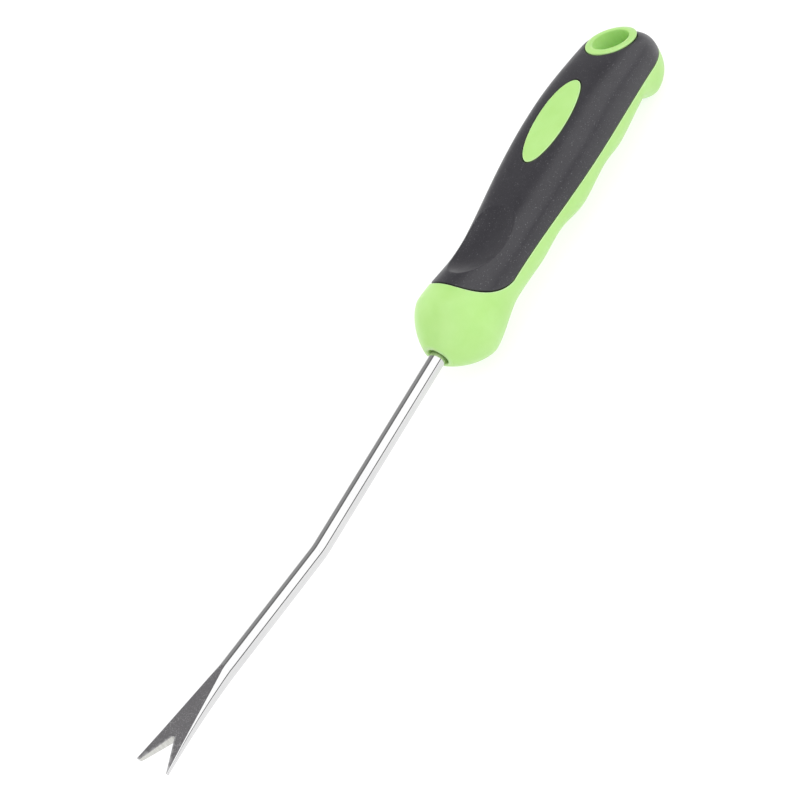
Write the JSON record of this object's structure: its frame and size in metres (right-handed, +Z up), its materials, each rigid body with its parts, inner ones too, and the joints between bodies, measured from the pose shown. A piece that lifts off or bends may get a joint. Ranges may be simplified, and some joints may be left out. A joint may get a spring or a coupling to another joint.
{
  "type": "hand weeder",
  "caption": "Forked hand weeder: slim bent steel rod with a notched flat blade, ball-fronted two-colour handle with thumb rest, finger grooves and hang hole.",
  "frame": {"origin": "axis of the hang hole, level with the centreline of the straight rod", "axes": "+X from the hang hole towards the fork, along the straight rod; +Z up through the thumb rest, along the hang hole; +Y to the left when looking along +X"},
  "size_m": [0.3142, 0.0342, 0.033],
  "materials": {
    "plated_steel": "bright plated round rod, with a dark satin ground face on the fork",
    "green_plastic": "smooth moulded light green plastic with a soft gloss",
    "black_grip": "matte black rubber-like overmould with a fine grain"
  },
  "bodies": {
    "root": {"shaft": "plated_steel", "handle_body": "green_plastic", "soft_grip": "black_grip"}
  },
  "joints": []
}
